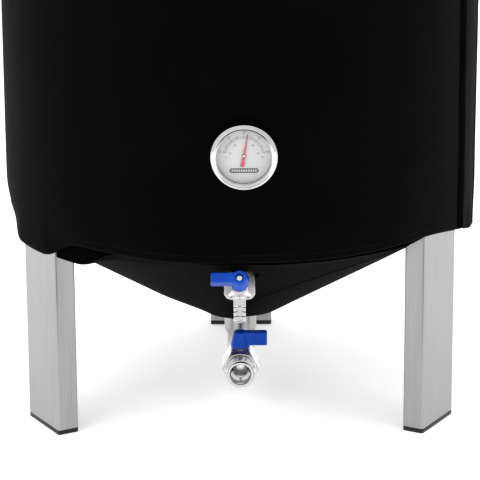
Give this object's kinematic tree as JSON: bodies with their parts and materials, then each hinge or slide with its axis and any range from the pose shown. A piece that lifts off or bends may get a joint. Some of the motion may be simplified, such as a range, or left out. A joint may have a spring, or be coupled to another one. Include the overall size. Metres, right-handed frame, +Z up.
{
  "type": "conical fermenter",
  "caption": "Jacketed steel conical fermenter on box-section legs, with latched lid, airlock, dial thermometer, racking valve and bottom dump valve.",
  "frame": {"origin": "floor level, at the centre of the bounding box; the vessel's axis stands 5.9 mm behind it", "axes": "+Z up; the thermometer and both valves face -Y; the racking valve's lever points to -X"},
  "size_m": [0.471, 0.4308, 0.763],
  "materials": {
    "steel_satin": "fine satin brushed stainless steel",
    "steel_polished": "polished stainless steel",
    "neoprene": "matt black nylon-faced neoprene",
    "black_plastic": "moulded black plastic",
    "blue_vinyl": "moulded blue vinyl",
    "silicone": "milky silicone rubber",
    "ptfe": "white PTFE",
    "dial_white": "printed white aluminium dial",
    "pointer_red": "red painted metal",
    "clear": "clear polycarbonate",
    "lens": "clear flat glass"
  },
  "bodies": {
    "vessel": {"vessel_cylinder": "steel_satin", "vessel_cone": "steel_satin", "leg_front_left": "steel_satin", "leg_front_right": "steel_satin", "leg_rear": "steel_satin", "latch_plate_1": "steel_satin", "latch_plate_2": "steel_satin", "latch_plate_3": "steel_satin", "latch_plate_4": "steel_satin", "side_handle_right": "steel_polished", "side_handle_left": "steel_polished", "gauge_stem": "steel_polished", "gauge_case": "steel_polished", "gauge_nut": "steel_polished", "rack_port": "steel_polished", "drain_port": "steel_polished", "drain_elbow": "steel_polished", "rack_valve_body": "steel_polished", "rack_valve_end": "steel_polished", "rack_valve_gland": "steel_polished", "drain_valve_body": "steel_polished", "drain_valve_end": "steel_polished", "drain_valve_gland": "steel_polished", "jacket_wall": "neoprene", "jacket_cone": "neoprene", "jacket_flap": "neoprene", "foot_cap_front_left": "black_plastic", "foot_cap_front_right": "black_plastic", "foot_cap_rear": "black_plastic", "gauge_seal": "silicone", "rack_valve_seat_in": "ptfe", "rack_valve_seat_out": "ptfe", "drain_valve_seat_in": "ptfe", "drain_valve_seat_out": "ptfe", "gauge_dial": "dial_white", "gauge_glass": "lens"},
    "lid": {"lid": "steel_satin", "lid_seal": "silicone", "lid_handle": "steel_polished", "airlock_bung": "silicone", "airlock_cup": "clear"},
    "airlock_bell": {"airlock_bell": "clear"},
    "airlock_cap": {"airlock_cap": "clear"},
    "gauge_pointer": {"gauge_pointer": "pointer_red"},
    "rack_lever": {"rack_valve_handle": "blue_vinyl", "rack_valve_stem": "steel_polished", "rack_valve_ball": "steel_polished", "rack_valve_screw": "steel_polished"},
    "drain_lever": {"drain_valve_handle": "blue_vinyl", "drain_valve_stem": "steel_polished", "drain_valve_ball": "steel_polished", "drain_valve_screw": "steel_polished"},
    "latch_lever_1": {"latch_lever_1": "steel_polished"},
    "latch_loop_1": {"latch_loop_1": "steel_polished"},
    "latch_lever_2": {"latch_lever_2": "steel_polished"},
    "latch_loop_2": {"latch_loop_2": "steel_polished"},
    "latch_lever_3": {"latch_lever_3": "steel_polished"},
    "latch_loop_3": {"latch_loop_3": "steel_polished"},
    "latch_lever_4": {"latch_lever_4": "steel_polished"},
    "latch_loop_4": {"latch_loop_4": "steel_polished"}
  },
  "joints": [
    {"name": "lid_lift", "type": "slide", "parent": "vessel", "child": "lid", "axis": [0, 0, 1], "range_m": [0, 0.3]},
    {"name": "airlock_bell_rise", "type": "slide", "parent": "lid", "child": "airlock_bell", "axis": [0, 0, 1], "range_m": [0, 0.008]},
    {"name": "airlock_cap_lift", "type": "slide", "parent": "lid", "child": "airlock_cap", "axis": [0, 0, 1], "range_m": [0, 0.05]},
    {"name": "pointer_turn", "type": "hinge", "parent": "vessel", "child": "gauge_pointer", "pos_m": [0.0043, -0.2081, 0.275], "axis": [0, 1, 0], "range_deg": [-100, 80]},
    {"name": "rack_lever_turn", "type": "hinge", "parent": "vessel", "child": "rack_lever", "pos_m": [0, -0.18942, 0.1643], "axis": [0, -0.866, 0.5], "range_deg": [0, 90]},
    {"name": "drain_lever_turn", "type": "hinge", "parent": "vessel", "child": "drain_lever", "pos_m": [0, -0.0401, 0.056], "axis": [0, 0, -1], "range_deg": [0, 90]},
    {"name": "latch_lever_1_swing", "type": "hinge", "parent": "vessel", "child": "latch_lever_1", "pos_m": [0.14906, -0.14316, 0.64], "axis": [-0.7071, -0.7071, 0], "range_deg": [0, 70]},
    {"name": "latch_loop_1_swing", "type": "hinge", "parent": "latch_lever_1", "child": "latch_loop_1", "pos_m": [0.15189, -0.14599, 0.634], "axis": [-0.7071, -0.7071, 0], "range_deg": [0, 110]},
    {"name": "latch_lever_2_swing", "type": "hinge", "parent": "vessel", "child": "latch_lever_2", "pos_m": [0.14906, 0.15496, 0.64], "axis": [0.7071, -0.7071, 0], "range_deg": [0, 70]},
    {"name": "latch_loop_2_swing", "type": "hinge", "parent": "latch_lever_2", "child": "latch_loop_2", "pos_m": [0.15189, 0.15779, 0.634], "axis": [0.7071, -0.7071, 0], "range_deg": [0, 110]},
    {"name": "latch_lever_3_swing", "type": "hinge", "parent": "vessel", "child": "latch_lever_3", "pos_m": [-0.14906, 0.15496, 0.64], "axis": [0.7071, 0.7071, 0], "range_deg": [0, 70]},
    {"name": "latch_loop_3_swing", "type": "hinge", "parent": "latch_lever_3", "child": "latch_loop_3", "pos_m": [-0.15189, 0.15779, 0.634], "axis": [0.7071, 0.7071, 0], "range_deg": [0, 110]},
    {"name": "latch_lever_4_swing", "type": "hinge", "parent": "vessel", "child": "latch_lever_4", "pos_m": [-0.14906, -0.14316, 0.64], "axis": [-0.7071, 0.7071, 0], "range_deg": [0, 70]},
    {"name": "latch_loop_4_swing", "type": "hinge", "parent": "latch_lever_4", "child": "latch_loop_4", "pos_m": [-0.15189, -0.14599, 0.634], "axis": [-0.7071, 0.7071, 0], "range_deg": [0, 110]}
  ]
}
